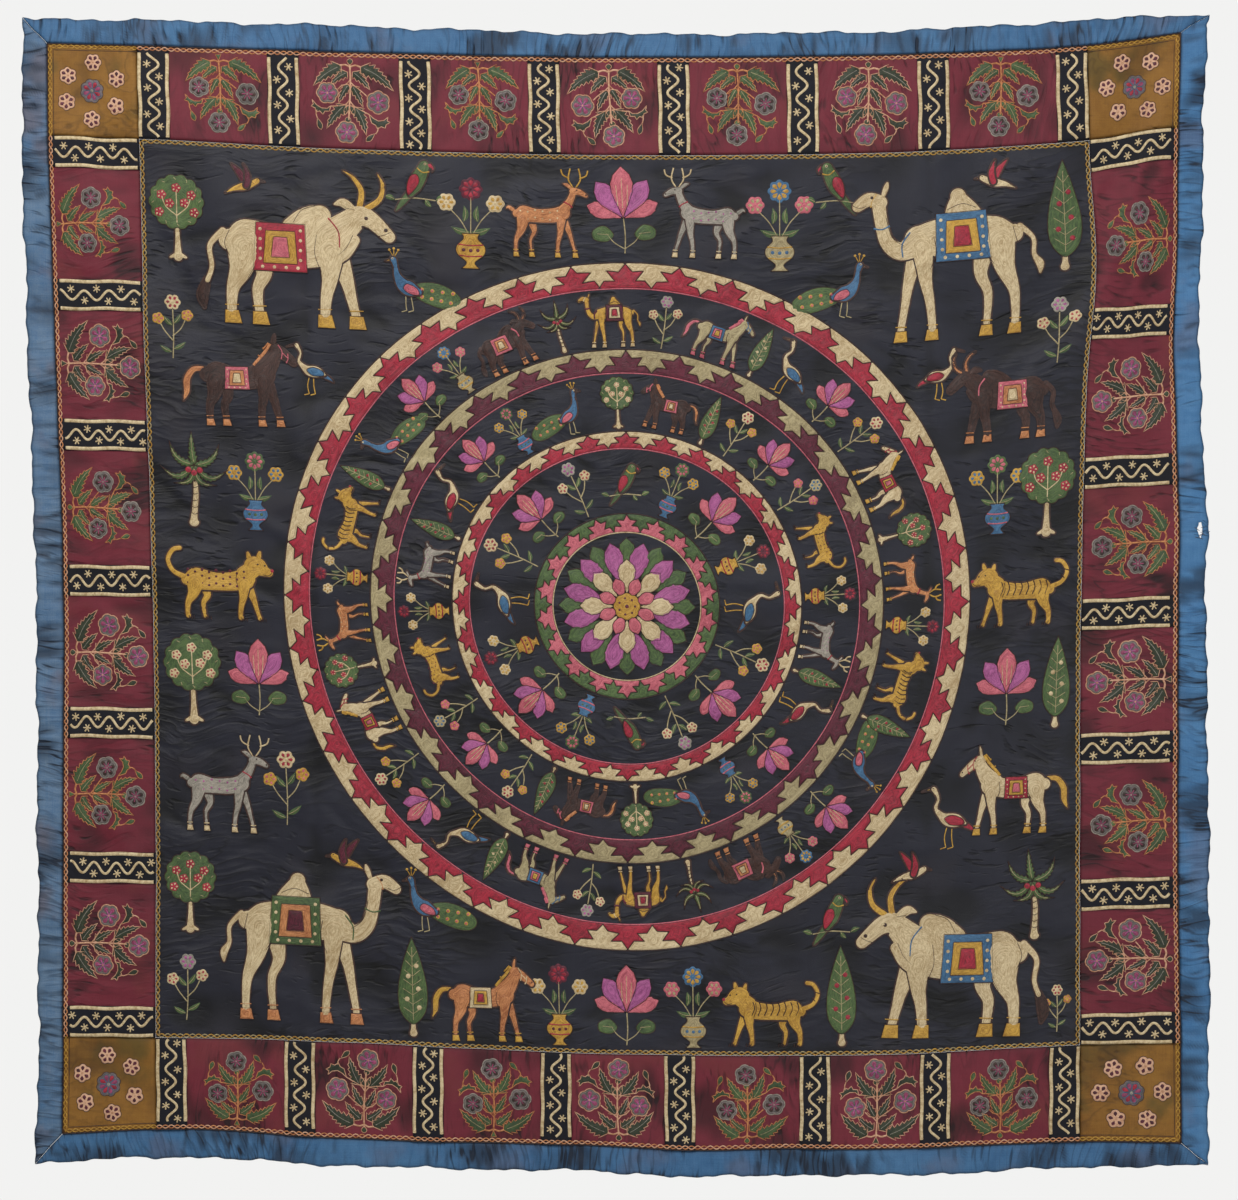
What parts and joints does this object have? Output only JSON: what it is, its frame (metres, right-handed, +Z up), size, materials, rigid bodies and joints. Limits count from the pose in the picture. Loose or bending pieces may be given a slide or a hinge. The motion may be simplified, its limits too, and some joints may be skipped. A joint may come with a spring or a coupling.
{
  "type": "embroidered temple hanging",
  "caption": "Square embroidered wall hanging: dark satin field with rings of stars, flower-panel border with strips, corner squares and silk edging.",
  "frame": {"origin": "middle of the top edge of the cloth, halfway through its thickness", "axes": "+Z up, +X to the right of the embroidered face, which faces -Y"},
  "size_m": [1.3071, 0.0208, 1.2788],
  "materials": {
    "field": "satin silk, navy-charcoal, soft sheen",
    "band": "maroon silk, fine plain weave",
    "strip": "navy silk, fine plain weave",
    "corner": "ochre silk, fine plain weave",
    "edging": "blue silk, satin sheen, puckered",
    "thread_cream": "cream silk floss, chain stitch",
    "thread_red": "red silk floss, chain stitch",
    "thread_maroon": "dark maroon silk floss",
    "thread_pink": "orchid pink silk floss",
    "thread_rose": "rose pink silk floss",
    "thread_green": "green silk floss",
    "thread_olive": "olive cream silk floss",
    "thread_yellow": "yellow silk floss",
    "thread_orange": "orange silk floss",
    "thread_blue": "blue silk floss",
    "thread_grey": "grey-lavender silk floss",
    "thread_brown": "dark brown outline thread"
  },
  "bodies": {
    "root": {"field": "field", "band_top": "band", "strip_top_1": "strip", "strip_top_2": "strip", "strip_top_3": "strip", "strip_top_4": "strip", "strip_top_5": "strip", "strip_top_6": "strip", "strip_top_7": "strip", "strip_top_8": "strip", "band_bottom": "band", "strip_bottom_1": "strip", "strip_bottom_2": "strip", "strip_bottom_3": "strip", "strip_bottom_4": "strip", "strip_bottom_5": "strip", "strip_bottom_6": "strip", "strip_bottom_7": "strip", "strip_bottom_8": "strip", "band_left": "band", "strip_left_1": "strip", "strip_left_2": "strip", "strip_left_3": "strip", "strip_left_4": "strip", "strip_left_5": "strip", "strip_left_6": "strip", "strip_left_7": "strip", "band_right": "band", "strip_right_1": "strip", "strip_right_2": "strip", "strip_right_3": "strip", "strip_right_4": "strip", "strip_right_5": "strip", "strip_right_6": "strip", "strip_right_7": "strip", "corner_top_left": "corner", "corner_top_right": "corner", "corner_bottom_left": "corner", "corner_bottom_right": "corner", "edging_top": "edging", "edging_bottom": "edging", "edging_left": "edging", "edging_right": "edging"}
  },
  "joints": []
}
